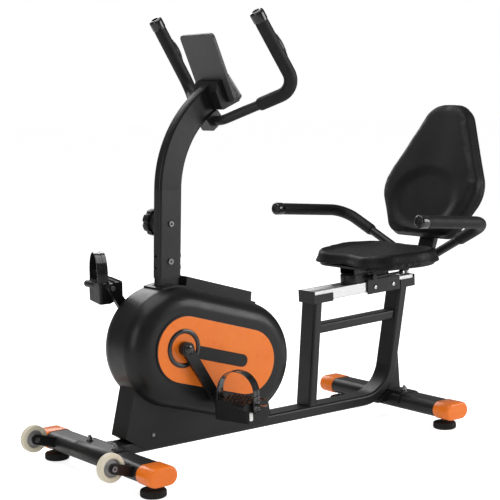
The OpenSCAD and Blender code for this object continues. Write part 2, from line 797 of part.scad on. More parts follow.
// Curved contact plates on the rider's side of each grip.
module pulse_sensors() placed() color("#c3c6ca") for (m = [0, 1]) mirror([0, m, 0]) {
    v = bar_top - bar_bend_out;
    translate(bar_bend_out + v * 0.38) rotate([0, acos(v.z / norm(v)), atan2(v.y, v.x)])
        rotate([0, 0, 100]) rotate_extrude(angle = 130)
            translate([grip_d / 2 + 0.05, 0]) square([1.6, 78]);
}

module clamp_frame() {
    c = [post_x + post_bend * cos(post_lean) + post_straight * sin(post_lean),
         post_z - post_bend * sin(post_lean) + post_straight * cos(post_lean)];
    translate(bar_centre)
        rotate([0, -atan2(c.x - bar_centre.x, bar_centre.z - c.y), 0]) children();
}

module handlebar_clamp() placed() color("#202022") difference() {
    clamp_frame() translate([-22, -24, -16]) cube([44, 48, 36]);
    disc_y(bar_centre.x, bar_centre.z, bar_d / 2 + 0.05, -30, 30);
    post_solid(0.1, 0);
    console_frame() translate([-60, -60, -10.2]) cube([120, 120, 60]);
}

// Console

console_lean = 22.4;
screen_lean = 14.7;
module console_frame() translate([383, 0, 918]) rotate([0, -console_lean, 0]) children();
module screen_frame() console_frame() translate([42, 0, -8.6])
    rotate([0, -screen_lean, 0]) children();

module console_housing() placed() color("#151617") difference() {
    console_frame() {
        plate_y(-48, 48) {
            polygon([[-34, -6], [-30, -10], [27, -10], [9.4, 56], [4.2, 56], [4.2, -0.3],
                [-4.2, -0.3], [-4.2, 62], [-20, 62], [-34, 40]]);
        }
    }
    post_solid(0.1, 0);
}

module tablet_panel() placed() color("#5b5c60") console_frame()
    translate([-4, 0, 92]) rotate([0, 90, 0]) linear_extrude(8) rounded_rect(184, 140, 12);

module console_screen() placed() color("#1a1b1d") screen_frame() difference() {
    translate([-14, 0, 42]) rotate([0, 90, 0]) linear_extrude(14) rounded_rect(84, 92, 14);
    translate([-1.2, 0, 51]) rotate([0, 90, 0]) linear_extrude(3) rounded_rect(46, 70, 4);
    for (y = [-24, 0, 24]) translate([-7, y, 16]) rotate([0, 90, 0])
        cylinder(r = 6.2, h = 10);
}

module screen_button(y) placed() color("#8d9096") screen_frame()
    translate([-4, y, 16]) rotate([0, 90, 0]) cylinder(r = 6, h = 6);
module button_left() screen_button(-24);
module button_middle() screen_button(0);
module button_right() screen_button(24);

// Seat rail, carriage and back frame, drawn in the rail's own frame

module on_carriage() rail_frame() translate([-seat_forward, 0, 0]) children();
// Turns a shape drawn in YZ into a bar along X.
module bar_x(u0, u1) translate([u0, 0, 0]) rotate([90, 0, 90]) linear_extrude(u1 - u0) children();

module seat_rail() placed() color("#c7cacd") rail_frame() bar_x(0, rail_len) difference() {
    translate([0, -rail_h / 2]) rounded_rect(rail_w, rail_h, 2);
    translate([-21, -4]) square([42, 5]);
    translate([-27, -rail_h + 2.5]) square([54, rail_h - 9]);
}

carriage_u = [194, 318];
carriage_side = 31;
riser_top = 24;
module seat_carriage() placed() color("#232426") on_carriage() {
    bar_x(carriage_u[0], carriage_u[1]) difference() {
        translate([-carriage_side - 4, -35]) square([2 * carriage_side + 8, 40]);
        translate([-carriage_side, -40]) square([2 * carriage_side, 41]);
    }
    difference() {
        translate([160, 0, 1]) linear_extrude(riser_top - 1) oblong(28, 110);
        translate([carriage_u[0] - 0.01, -50, -1]) cube([130, 100, 2]);
    }
    disc_y(lever_at.x, lever_at.y, 5, -50, -26);
    disc_y(lever_at.x, lever_at.y, 8, -53, -50);
}

lever_at = [206, 14];
module seat_lock_lever() placed() color("#2c2e31") on_carriage() {
    difference() {
        union() {
            disc_y(lever_at.x, lever_at.y, 9, -46, -38);
            rod([lever_at.x, -42, lever_at.y], [lever_at.x + 112, -46, lever_at.y + 1], 7);
        }
        disc_y(lever_at.x, lever_at.y, 5.05, -60, -30);
    }
    rod([lever_at.x + 104, -46, lever_at.y + 1], [lever_at.x + 134, -47, lever_at.y + 2], 13);
}

flat_t = 20;
flat_w = 60;
upright_bend = 55;
upright_lean = back_lean + rail_rise;      // in the rail's frame
pad_t = 38;
shell_t = 12;
// The backrest's front plane: a point on it, in XZ.
back_at = [1120, 620];
back_gap = pad_t + shell_t + flat_t / 2 + 0.15;

module back_frame() translate([back_at.x, 0, back_at.y]) rotate([0, back_lean, 0]) children();

module upright_profile(slim = 0)
    rect_tube(flat_t - slim, flat_w - slim, 5 - slim / 2, 2 - slim);

module back_upright() placed() color("#1a1a1c") {
    w = riser_top + 0.05 + flat_t / 2;
    u = corner_u();
    cut = upright_bend * tan((90 - upright_lean) / 2);
    on_carriage() {
        translate([150, 0, w]) rotate([0, 90, 0]) linear_extrude(u - cut - 149.7)
            upright_profile();
        translate([u - cut, 0, w + upright_bend]) rotate([90, 0, 0]) rotate([0, 0, -90])
            rotate_extrude(angle = 90 - upright_lean) translate([upright_bend, 0])
                upright_profile(0.1);
        translate([u, 0, w]) rotate([0, upright_lean, 0]) translate([0, 0, cut - 0.3])
            linear_extrude(380.3 - cut) upright_profile();
    }
}
// Along the rail, where the upright's two centre lines cross.
function corner_u() = let (
    p = [back_at.x + back_gap * cos(back_lean) - rail_x,
         back_at.y - back_gap * sin(back_lean) - rail_z],
    q = [p.x * cos(rail_rise) + p.y * sin(rail_rise),
         -p.x * sin(rail_rise) + p.y * cos(rail_rise)])
    q.x - (q.y - riser_top - 0.05 - flat_t / 2) * tan(upright_lean);

module seat_outline(inset) translate([265, 0]) hull() {
    for (s = [-1, 1]) {
        translate([seat_len / 2 - 118, s * (seat_w / 2 - 118)]) circle(118 - inset, $fn = 40);
        translate([-seat_len / 2 + 85, s * (seat_w / 2 - 103)]) circle(85 - inset, $fn = 40);
    }
}

pan_w = riser_top + flat_t + 0.15;
module seat_pan() placed() color("#1d1e20") on_carriage()
    translate([0, 0, pan_w]) linear_extrude(6) seat_outline(14);
module seat_pad() placed() color("#161617") on_carriage()
    translate([0, 0, pan_w + 6.1]) linear_extrude(36) seat_outline(0);

module back_outline(inset) hull() for (s = [-1, 1]) {
    translate([s * 92, -56]) circle(52 - inset, $fn = 40);
    translate([s * 98, 38]) circle(94 - inset, $fn = 40);
    translate([s * 16, 218]) circle(82 - inset, $fn = 40);
}
// Moves a part with the seat, along the rail.
module with_seat() translate([-seat_forward * cos(rail_rise), 0, -seat_forward * sin(rail_rise)])
    children();

module back_slab(x0, x1, inset) placed() with_seat() back_frame()
    translate([x0, 0, 0]) rotate([90, 0, 90]) linear_extrude(x1 - x0) back_outline(inset);
module backrest_pad() color("#141414") back_slab(0, pad_t, 0);
module backrest_shell() color("#1b1c1e") back_slab(pad_t + 0.05, pad_t + shell_t, 4);

arm_tip = [812, 298, 595];
arm_bend = [1071, 293, 574];
arm_in = [1096, 15, 438];
arm_grip_end = arm_bend + 0.41 * (arm_in - arm_bend);
// The two armrests end on the sides of the back upright.
module armrest_tube() placed() color("#1c1c1e") with_seat()
    for (m = [0, 1]) mirror([0, m, 0]) difference() {
        bent_rod([arm_tip, arm_bend, arm_in], bar_d, 60, bar_d - 3);
        translate([arm_in.x - 50, -50, arm_in.z - 50])
            cube([100, 50 + flat_w / 2 + 0.1, 100]);
    }
module armrest_grips() placed() color("#121213") with_seat()
    for (m = [0, 1]) mirror([0, m, 0]) {
        bent_rod([arm_tip, arm_bend, arm_grip_end], grip_d, 60, bar_d + 0.1);
        grip_cap(arm_tip, arm_bend);
    }

main_beam();
upright_tube();
seat_front_post();
frame_brace();
stabiliser_saddles();
rail_brackets();
front_stabiliser();
rear_stabiliser();
stabiliser_caps();
frame_bolts();
wheel_forks();
transport_wheel_left();
transport_wheel_right();
foot_front_left();
foot_front_right();
foot_rear_left();
foot_rear_right();
shroud_left();
shroud_right();
panel_left();
panel_right();
panel_inlays();
crank_bearings();
crank_axle();
drive_pulley();
crank_left();
crank_right();
pedal_spindles();
pedal_left();
pedal_right();
strap_left();
strap_right();
drive_belt();
flywheel();
flywheel_mount();
magnet_bracket();
tension_cable();
handlebar_post();
knob_housing();
tension_knob();
handlebar();
handlebar_grips();
pulse_sensors();
handlebar_clamp();
console_housing();
tablet_panel();
console_screen();
button_left();
button_middle();
button_right();
seat_rail();
seat_carriage();
seat_lock_lever();
back_upright();
seat_pan();
seat_pad();
backrest_shell();
backrest_pad();
armrest_tube();
armrest_grips();
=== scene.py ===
"""The recumbent exercise bike's looks, light and camera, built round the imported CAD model."""

import math

import bmesh
import bpy
from mathutils import Matrix, Vector


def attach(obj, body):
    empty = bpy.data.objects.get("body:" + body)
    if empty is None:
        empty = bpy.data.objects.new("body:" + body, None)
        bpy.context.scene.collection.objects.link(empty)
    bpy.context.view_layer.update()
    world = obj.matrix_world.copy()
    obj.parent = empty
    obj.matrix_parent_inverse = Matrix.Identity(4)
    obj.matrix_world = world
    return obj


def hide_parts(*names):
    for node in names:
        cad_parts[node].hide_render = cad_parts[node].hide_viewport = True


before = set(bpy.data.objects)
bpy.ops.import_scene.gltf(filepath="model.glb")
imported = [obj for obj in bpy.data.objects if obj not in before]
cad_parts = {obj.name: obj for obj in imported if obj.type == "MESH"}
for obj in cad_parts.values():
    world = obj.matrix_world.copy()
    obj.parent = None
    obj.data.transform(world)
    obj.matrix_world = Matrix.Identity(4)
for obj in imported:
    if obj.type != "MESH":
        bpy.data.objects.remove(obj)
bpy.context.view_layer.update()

MM = 0.001
SIDES = ((-1, "left"), (1, "right"))

# Places and sizes shared with the CAD source, in millimetres from the front stabiliser
FRONT_X = -571.5                  # the front stabiliser in the frame's own X
WHEELBASE = 982
STABILISER_END = 248              # half the length of a stabiliser's tube
STABILISER_HALF = (40, 22)        # half the width and height of its oval section
STABILISER_Z = 55
FOOT_Y = (223, 217.5)             # front and rear levelling feet
WHEEL_AT = (-90, 181, 77)
WHEEL_BOLT_Y = 200.6              # the outer face of a wheel bolt's head
CRANK = (194, 309)                # the crank axle, in XZ
CRANK_LEN = 170
CRANK_ANGLE = 57
CRANK_CAP_Y = 104.9
SHROUD_HALF = 82
POST = (206, 478)                 # the handlebar post's lower end, in XZ
POST_LEAN = 2.2
POST_BOLT_Z = 520
KNOB_Z = 615
POST_BOLT_Y = 19.05               # the outer face of a post bolt's head
RAIL = (670, 396)                 # the seat rail's front end, in XZ
RAIL_RISE = 2.1


def at(x, y, z):
    """A point laid out in millimetres from the front stabiliser, in the bike's own frame."""
    return Vector(((x + FRONT_X) * MM, y * MM, z * MM))


def turned(origin, lean_deg):
    """The frame at an XZ point whose Z axis leans by lean_deg toward +X."""
    return (Matrix.Translation(at(origin[0], 0, origin[1]))
            @ Matrix.Rotation(math.radians(lean_deg), 4, "Y"))


def facing_out(matrix, side):
    """The same frame with its Z axis turned to that side of the bike."""
    return matrix @ Matrix.Rotation(math.radians(-90 * side), 4, "X")


# Camera, floor and light

CAMERA_AT = at(-1758.5, -2866.5, 950.6)
CAMERA_YAW = -38.07
CAMERA_DOWN = 6.54
CAMERA_ROLL = 0.95
CAMERA_LENS = 99.54               # on a sensor 36 mm wide
CAMERA_SHIFT = (-0.0076, -0.0068)
LIGHT_AIM = (0, 0, 0.55)
SOFTBOXES = {                     # place, size and watts
    "side_softbox": ((2.9, -3.0, 1.6), (2.2, 2.2), 100),
    "top_softbox": ((-0.6, 0.2, 3.4), (3.4, 2.4), 72),
    "front_softbox": ((-3.6, -0.9, 1.5), (1.4, 2.0), 24),
    "back_softbox": ((0.8, 3.4, 2.4), (2.5, 1.8), 50),
}
SKY_SEEN = 1.0                    # strength of the white world behind the floor
SKY_LIT = 0.2                     # strength of the light that it gives
FLOOR_HALF = 30
FLOOR_GLOW = (0.12, 0.8)          # as the bike sees the floor, and as the camera does


def make_camera():
    data = bpy.data.cameras.new("camera")
    data.sensor_width = 36
    data.lens = CAMERA_LENS
    data.shift_x, data.shift_y = CAMERA_SHIFT
    data.clip_end = 100
    camera = bpy.data.objects.new("camera", data)
    turn = (Matrix.Rotation(math.radians(CAMERA_YAW), 4, "Z")
            @ Matrix.Rotation(math.radians(90 - CAMERA_DOWN), 4, "X")
            @ Matrix.Rotation(math.radians(-CAMERA_ROLL), 4, "Z"))
    camera.matrix_world = Matrix.Translation(CAMERA_AT) @ turn
    bpy.context.collection.objects.link(camera)
    bpy.context.scene.camera = camera


def area_light(name, place, size, watts):
    data = bpy.data.lights.new(name, "AREA")
    data.shape = "RECTANGLE"
    data.size = size[0]
    data.size_y = size[1]
    data.energy = watts
    light = bpy.data.objects.new(name, data)
    light.location = place
    light.rotation_euler = (Vector(LIGHT_AIM) - Vector(place)).to_track_quat("-Z", "Y").to_euler()
    light.visible_camera = False
    bpy.context.collection.objects.link(light)


def make_world():
    """A white backdrop for the camera that lights the bike only faintly."""
    world = bpy.data.worlds.new("studio")
    bpy.context.scene.world = world
    world.use_nodes = True
    nodes = world.node_tree.nodes
    nodes.clear()
    out = nodes.new("ShaderNodeOutputWorld")
    seen = nodes.new("ShaderNodeBackground")
    lit = nodes.new("ShaderNodeBackground")
    ray = nodes.new("ShaderNodeLightPath")
    mix = nodes.new("ShaderNodeMixShader")
    seen.inputs[0].default_value = (1, 1, 1, 1)
    seen.inputs[1].default_value = SKY_SEEN
    lit.inputs[0].default_value = (1, 1, 1, 1)
    lit.inputs[1].default_value = SKY_LIT
    links = world.node_tree.links
    links.new(ray.outputs["Is Camera Ray"], mix.inputs[0])
    links.new(lit.outputs[0], mix.inputs[1])
    links.new(seen.outputs[0], mix.inputs[2])
    links.new(mix.outputs[0], out.inputs[0])


def make_floor():
    """A plain pale floor, which glows a little more for the camera than for the bike."""
    mesh = bpy.data.meshes.new("floor")
    half = FLOOR_HALF
    mesh.from_pydata([(-half, -half, 0), (half, -half, 0), (half, half, 0), (-half, half, 0)],
                     [], [(0, 1, 2, 3)])
    floor = bpy.data.objects.new("floor", mesh)
    bpy.context.collection.objects.link(floor)
    shade = bpy.data.materials.new("floor")
    shade.use_nodes = True
    shader = shade.node_tree.nodes["Principled BSDF"]
    shader.inputs["Base Color"].default_value = (0.96, 0.96, 0.96, 1)
    shader.inputs["Roughness"].default_value = 0.6
    shader.inputs["Emission Color"].default_value = (1, 1, 1, 1)
    glow = shade.node_tree.nodes.new("ShaderNodeMapRange")
    ray = shade.node_tree.nodes.new("ShaderNodeLightPath")
    glow.inputs["To Min"].default_value = FLOOR_GLOW[0]
    glow.inputs["To Max"].default_value = FLOOR_GLOW[1]
    shade.node_tree.links.new(ray.outputs["Is Camera Ray"], glow.inputs["Value"])
    shade.node_tree.links.new(glow.outputs["Result"], shader.inputs["Emission Strength"])
    mesh.materials.append(shade)


def make_studio():
    make_world()
    for name, (place, size, watts) in SOFTBOXES.items():
        area_light(name, place, size, watts)
    bpy.context.scene.view_settings.view_transform = "Standard"
    make_floor()


# Materials

NOISE_SPAN = (0.3, 0.7)           # the range that most of a noise's values fall in
EDGE_SPAN = (0.53, 0.6)           # the pointiness where an edge begins to wear, and is worn
EDGE_WEAR = 0.35


class Shade:
    """A procedural material: a Principled shader with noise in its colour, gloss and bump."""

    def __init__(self, name, **sockets):
        self.material = bpy.data.materials.new(name)
        self.material.use_nodes = True
        self.nodes = self.material.node_tree.nodes
        self.links = self.material.node_tree.links
        self.shader = self.nodes["Principled BSDF"]
        for key, value in sockets.items():
            self.shader.inputs[key.replace("_", " ")].default_value = value
        self.coords = self.nodes.new("ShaderNodeTexCoord").outputs["Object"]
        self.height = None

    def scaled(self, stretch):
        """The object's coordinates, scaled along each axis."""
        node = self.nodes.new("ShaderNodeMapping")
        node.inputs["Scale"].default_value = stretch
        self.links.new(self.coords, node.inputs["Vector"])
        return node.outputs["Vector"]

    def noise(self, scale, detail=3.0, rough=0.55, stretch=None):
        node = self.nodes.new("ShaderNodeTexNoise")
        node.inputs["Scale"].default_value = scale
        node.inputs["Detail"].default_value = detail
        node.inputs["Roughness"].default_value = rough
        self.links.new(self.scaled(stretch) if stretch else self.coords, node.inputs["Vector"])
        return node.outputs["Fac"]

    def cells(self, scale, feature="F1"):
        node = self.nodes.new("ShaderNodeTexVoronoi")
        node.feature = feature
        node.inputs["Scale"].default_value = scale
        self.links.new(self.coords, node.inputs["Vector"])
        return node.outputs["Distance"]

    def ramp(self, fac, low, high, span=NOISE_SPAN):
        """A number that runs from low to high as fac runs over the span."""
        node = self.nodes.new("ShaderNodeMapRange")
        node.inputs["From Min"].default_value = span[0]
        node.inputs["From Max"].default_value = span[1]
        node.inputs["To Min"].default_value = low
        node.inputs["To Max"].default_value = high
        self.links.new(fac, node.inputs["Value"])
        return node.outputs["Result"]

    def colours(self, fac, low, high):
        node = self.nodes.new("ShaderNodeValToRGB")
        for element, place, colour in zip(node.color_ramp.elements, NOISE_SPAN, (low, high)):
            element.position = place
            element.color = (*colour, 1)
        self.links.new(fac, node.inputs["Fac"])
        self.links.new(node.outputs["Color"], self.shader.inputs["Base Color"])

    def gloss(self, fac, low, high):
        self.links.new(self.ramp(fac, low, high), self.shader.inputs["Roughness"])

    def bump(self, fac, depth_mm, strength=1.0):
        node = self.nodes.new("ShaderNodeBump")
        node.inputs["Strength"].default_value = strength
        node.inputs["Distance"].default_value = depth_mm * MM
        self.links.new(fac, node.inputs["Height"])
        if self.height:
            self.links.new(self.height, node.inputs["Normal"])
        self.height = node.outputs["Normal"]
        self.links.new(self.height, self.shader.inputs["Normal"])

    def worn_edges(self, colour):
        """Lightens sharp edges a little, where handling polishes them."""
        geometry = self.nodes.new("ShaderNodeNewGeometry")
        mask = self.ramp(geometry.outputs["Pointiness"], 0.0, EDGE_WEAR, EDGE_SPAN)
        mix = self.nodes.new("ShaderNodeMix")
        mix.data_type = "RGBA"
        factor, plain, worn, result = mix.inputs[0], mix.inputs[6], mix.inputs[7], mix.outputs[2]
        base = self.shader.inputs["Base Color"]
        self.links.new(base.links[0].from_socket, plain)
        worn.default_value = (*colour, 1)
        self.links.new(mask, factor)
        self.links.new(result, base)


def grey(v):
    return (v, v, v)


def painted(name, dark, light, rough):
    s = Shade(name, Specular_IOR_Level=0.25, Coat_Weight=0.1, Coat_Roughness=0.3)
    s.colours(s.noise(14), grey(dark), grey(light))
    s.gloss(s.noise(60, 4), rough - 0.04, rough + 0.05)
    s.bump(s.noise(900, 2), 0.03)
    s.worn_edges(grey(light * 3.5))
    return s.material


def plastic(name, low, high, rough, grain=1500, depth=0.03, coat=0.0):
    s = Shade(name, Specular_IOR_Level=0.25, Coat_Weight=coat, Coat_Roughness=0.12)
    s.colours(s.noise(9), low, high)
    s.gloss(s.noise(45, 4), rough - 0.05, rough + 0.05)
    s.bump(s.noise(grain, 2), depth)
    return s.material


def metal(name, low, high, rough, stretch=(1, 1, 1), depth=0.01, scale=300):
    s = Shade(name, Metallic=1.0)
    streaks = s.noise(scale, 5, 0.6, stretch)
    s.colours(streaks, low, high)
    s.gloss(streaks, rough - 0.07, rough + 0.08)
    s.bump(streaks, depth)
    return s.material


def foam(name):
    s = Shade(name, Specular_IOR_Level=0.25)
    s.colours(s.noise(40), grey(0.005), grey(0.010))
    s.gloss(s.noise(80), 0.48, 0.62)
    s.bump(s.cells(1400), 0.10, 0.6)
    s.bump(s.noise(220, 4), 0.08, 0.5)
    return s.material


def vinyl(name):
    s = Shade(name, Specular_IOR_Level=0.2)
    s.colours(s.noise(12), grey(0.004), grey(0.008))
    s.gloss(s.noise(70, 4), 0.42, 0.58)
    s.bump(s.cells(520, "DISTANCE_TO_EDGE"), 0.20, 0.5)
    s.bump(s.noise(160, 5), 0.10, 0.5)
    return s.material


def seat_vinyl(name):
    """The seat's moulded skin: a fine grain with small raised dots."""
    s = Shade(name, Specular_IOR_Level=0.2)
    s.colours(s.noise(12), grey(0.004), grey(0.008))
    s.gloss(s.noise(70, 4), 0.40, 0.56)
    s.bump(s.cells(170), 0.7, 0.6)
    s.bump(s.noise(300, 5), 0.12, 0.5)
    return s.material


def rubber(name):
    s = Shade(name, Specular_IOR_Level=0.3)
    s.colours(s.noise(30), grey(0.010), grey(0.025))
    s.gloss(s.noise(90), 0.6, 0.78)
    s.bump(s.noise(700, 3), 0.08)
    return s.material


def screen_glass(name):
    s = Shade(name, Specular_IOR_Level=0.6, Coat_Weight=1.0, Coat_Roughness=0.03)
    s.colours(s.noise(25), (0.020, 0.026, 0.024), (0.034, 0.042, 0.038))
    s.gloss(s.noise(30), 0.06, 0.12)
    return s.material


def reflector_lens(name):
    s = Shade(name, Specular_IOR_Level=0.8, Coat_Weight=1.0, Coat_Roughness=0.05)
    s.colours(s.noise(60), (0.72, 0.71, 0.68), (0.86, 0.85, 0.82))
    s.gloss(s.noise(60), 0.12, 0.22)
    s.bump(s.cells(900), 0.4, 0.8)
    return s.material


LOOKS = {
    "frame_paint": painted("frame_paint", 0.005, 0.009, 0.36),
    "crank_paint": painted("crank_paint", 0.006, 0.010, 0.30),
    "shroud": plastic("shroud", grey(0.005), grey(0.009), 0.36, 1100, 0.05, 0.08),
    "orange": plastic("orange", (0.84, 0.175, 0.012), (0.90, 0.21, 0.018),
                      0.30, 1300, 0.02, 0.25),
    "dark_plastic": plastic("dark_plastic", grey(0.006), grey(0.012), 0.46, 900, 0.06),
    "gloss_black": plastic("gloss_black", grey(0.006), grey(0.010), 0.14, 400, 0.01, 0.6),
    "grey_panel": plastic("grey_panel", grey(0.046), grey(0.062), 0.38, 1200, 0.04),
    "light_grey": plastic("light_grey", grey(0.30), grey(0.37), 0.4, 900, 0.04),
    "ivory": plastic("ivory", (0.66, 0.60, 0.46), (0.74, 0.68, 0.54), 0.42, 600, 0.05),
    "steel": metal("steel", grey(0.34), grey(0.46), 0.32, (1, 6, 1)),
    "bright_steel": metal("bright_steel", grey(0.68), grey(0.80), 0.20, (1, 1, 9)),
    "bolt_steel": metal("bolt_steel", grey(0.16), grey(0.24), 0.28),
    "cast_steel": metal("cast_steel", grey(0.20), grey(0.30), 0.42),
    "aluminium": metal("aluminium", grey(0.50), grey(0.64), 0.34, (0.4, 12, 12), 0.006, 500),
    "foam": foam("foam"),
    "vinyl": vinyl("vinyl"),
    "seat_vinyl": seat_vinyl("seat_vinyl"),
    "rubber": rubber("rubber"),
    "glass": screen_glass("glass"),
    "reflector": reflector_lens("reflector"),
}

NODE_LOOKS = {
    "frame_paint": ["main_beam", "upright_tube", "seat_front_post", "frame_brace",
                    "stabiliser_saddles", "rail_brackets", "front_stabiliser", "rear_stabiliser",
                    "wheel_forks", "handlebar_post", "handlebar", "handlebar_clamp",
                    "seat_carriage", "seat_lock_lever", "back_upright", "armrest_tube"],
    "crank_paint": ["crank_left", "crank_right"],
    "shroud": ["shroud_left", "shroud_right", "seat_pan"],
    "orange": ["panel_left", "panel_right"],
    "dark_plastic": ["panel_inlays", "drive_pulley", "tension_knob", "knob_housing",
                     "pedal_left", "pedal_right", "console_housing"],
    "gloss_black": ["console_screen"],
    "grey_panel": ["tablet_panel"],
    "light_grey": ["button_left", "button_middle", "button_right"],
    "bolt_steel": ["frame_bolts"],
    "steel": ["crank_axle", "pedal_spindles", "crank_bearings", "flywheel_mount",
              "magnet_bracket"],
    "bright_steel": ["pulse_sensors"],
    "cast_steel": ["flywheel"],
    "aluminium": ["seat_rail"],
    "rubber": ["drive_belt", "tension_cable"],
}
SOFTENED_EDGES = {                # widths in millimetres
    0.8: ["handlebar_clamp", "crank_left", "crank_right", "rail_brackets", "seat_carriage",
          "tablet_panel", "panel_left", "panel_right", "tension_knob", "knob_housing",
          "console_screen", "stabiliser_saddles"],
    0.4: ["panel_inlays", "wheel_forks", "seat_lock_lever", "pedal_left",
          "pedal_right", "seat_rail", "button_left", "button_middle", "button_right"],
    1.5: ["console_housing"],
}


def dress_nodes():
    """Gives the CAD parts their materials, and softens the edges of those that stay in view."""
    for look, names in NODE_LOOKS.items():
        for name in names:
            for material_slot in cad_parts[name].material_slots:
                material_slot.material = LOOKS[look]
    for width, names in SOFTENED_EDGES.items():
        for name in names:
            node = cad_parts[name]
            weld = node.modifiers.new("weld", "WELD")
            weld.merge_threshold = 0.02 * MM
            bevel = node.modifiers.new("soft_edges", "BEVEL")
            bevel.width = width * MM
            bevel.segments = 2
            bevel.limit_method = "ANGLE"
            bevel.angle_limit = math.radians(40)
            bevel.use_clamp_overlap = True


# Mesh helpers

POINT_R = 0.01                    # the ring that closes a lathed shape on its axis


def piece(name, body, look, slot, verts, faces, sharp=40, replaces=()):
    """A visible piece on a body, shaded smooth but for edges sharper than sharp degrees."""
    mesh = bpy.data.meshes.new(name)
    mesh.from_pydata([tuple(v) for v in verts], [], faces)
    mesh.validate()
    bm = bmesh.new()
    bm.from_mesh(mesh)
    bmesh.ops.remove_doubles(bm, verts=bm.verts, dist=1e-6)
    bmesh.ops.recalc_face_normals(bm, faces=bm.faces)
    bm.to_mesh(mesh)
    bm.free()
    for p in mesh.polygons:
        p.use_smooth = True
    mesh.set_sharp_from_angle(angle=math.radians(sharp))
    obj = bpy.data.objects.new(name, mesh)
    bpy.context.collection.objects.link(obj)
    mesh.materials.append(LOOKS[look])
    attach(obj, body)
    if replaces:
        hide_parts(*replaces)
    return obj


def skin(rings, closed_ends=True):
    """Points, and the faces between rings of equal length, each ring a loop of points."""
    verts = [p for ring in rings for p in ring]
    n = len(rings[0])
    faces = []
    for i in range(len(rings) - 1):
        for j in range(n):
            k = (j + 1) % n
            faces.append((i * n + j, i * n + k, (i + 1) * n + k, (i + 1) * n + j))
    if closed_ends:
        faces.append(tuple(range(n - 1, -1, -1)))
        faces.append(tuple((len(rings) - 1) * n + j for j in range(n)))
    return verts, faces


def join(*parts):
    """Several shapes' points and faces as one."""
    verts, faces = [], []
    for v, f in parts:
        base = len(verts)
        verts += list(v)
        faces += [tuple(i + base for i in face) for face in f]
    return verts, faces


def lathe(profile, matrix, steps, closed_ends=True):
    """A profile of (radius, height) in millimetres turned about the matrix's Z axis."""
    rings = []
    for radius, h in profile:
        r = max(radius, POINT_R)
        rings.append([matrix @ Vector((r * MM * math.cos(2 * math.pi * j / steps),
                                       r * MM * math.sin(2 * math.pi * j / steps),
                                       h * MM)) for j in range(steps)])
    return skin(rings, closed_ends)


def hoop(profile, matrix, steps):
    """A closed profile turned about the matrix's Z axis, open in the middle."""
    return lathe(profile + profile[:1], matrix, steps, closed_ends=False)


def placed(matrix, points):
    """Points laid out in millimetres in the matrix's frame."""
    return [matrix @ (Vector(p) * MM) for p in points]


def bend_path(points, radius):
    """A path through the points, in millimetres, with an arc of that radius at each inner one."""
    step = 5.0
    points = [Vector(p) for p in points]
    path = [points[0]]
    for before, here, after in zip(points, points[1:], points[2:]):
        u, v = (before - here).normalized(), (after - here).normalized()
        half = u.angle(v) / 2
        cut = radius / math.tan(half)
        centre = here + (u + v).normalized() * radius / math.sin(half)
        start = here + u * cut - centre
        end = here + v * cut - centre
        turns = max(3, int(radius * start.angle(end) / step))
        for k in range(turns + 1):
            path.append(centre + start.slerp(end, k / turns).normalized() * radius)
    path.append(points[-1])
    return path


def tube(path, radius, steps):
    """A round tube along a path in millimetres, its radius a function of the length along it."""
    lengths = [0.0]
    for a, b in zip(path, path[1:]):
        lengths.append(lengths[-1] + (b - a).length)
    along = (path[1] - path[0]).normalized()
    side = along.orthogonal().normalized()
    rings = []
    for i, p in enumerate(path):
        nxt = path[min(i + 1, len(path) - 1)] - path[max(i - 1, 0)]
        tangent = nxt.normalized()
        side = (side - tangent * side.dot(tangent)).normalized()
        up = tangent.cross(side)
        r = radius(lengths[i])
        rings.append([at(*(p + (side * math.cos(2 * math.pi * j / steps)
                                + up * math.sin(2 * math.pi * j / steps)) * r))
                      for j in range(steps)])
    return skin(rings)


def divided(path):
    """The same path with its long straight stretches cut into steps."""
    step = 6.0
    out = [path[0]]
    for a, b in zip(path, path[1:]):
        n = max(1, int((b - a).length / step))
        out += [a.lerp(b, k / n) for k in range(1, n + 1)]
    return out


def hull_outline(circles, n):
    """n evenly spaced points round the hull of circles (x, y, radius), in millimetres."""
    half_turn = 720
    dense = []
    for k in range(2 * half_turn):
        d = Vector((math.cos(math.pi * k / half_turn), math.sin(math.pi * k / half_turn)))
        x, y, r = max(circles, key=lambda c: c[0] * d.x + c[1] * d.y + c[2])
        dense.append(Vector((x, y)) + d * r)
    dense.append(dense[0])
    lengths = [0.0]
    for a, b in zip(dense, dense[1:]):
        lengths.append(lengths[-1] + (b - a).length)
    out, k = [], 0
    for j in range(n):
        want = lengths[-1] * j / n
        while lengths[k + 1] < want:
            k += 1
        t = (want - lengths[k]) / max(lengths[k + 1] - lengths[k], 1e-9)
        out.append(dense[k].lerp(dense[k + 1], t))
    return out


def smooth(t):
    """A soft step from 0 to 1 as t runs from 0 to 1."""
    t = min(max(t, 0.0), 1.0)
    return t * t * (3 - 2 * t)


# Seat and backrest

SEAT_FRAME = turned(RAIL, -RAIL_RISE)
SEAT_MID = 265                    # the seat's middle along the rail
SEAT_CIRCLES = [(23.5, 60, 118), (23.5, -60, 118), (-56.5, 75, 85), (-56.5, -75, 85)]
SEAT_CENTRE = Vector((12, 0))
SEAT_NOTCH = 16                   # how far the front edge curves in between the legs
SEAT_BOWL = 9.0                   # how deep the middle of the seat is
SEAT_WATERFALL = 7                # how far its front edge drops
SEAT_WINGS = 3.0                  # how far its sides rise
PAD_BOTTOM = 50.3                 # the pad's underside, in the rail's frame
PAD_LOWEST = 3                    # the height that its profile gives the underside
BACK_FRAME = turned((1120, 620), 20)
BACK_CIRCLES = [(92, -56, 52), (-92, -56, 52), (98, 38, 94), (-98, 38, 94), (16, 218, 82),
                (-16, 218, 82)]
BACK_CENTRE = Vector((0, 60))
BACK_SIDES_FROM = 14              # the depth where the backrest's front gives way to its sides
BACK_HOLLOW = 9
BACK_GROOVE = 2.5
AROUND = 176                      # points round each cushion

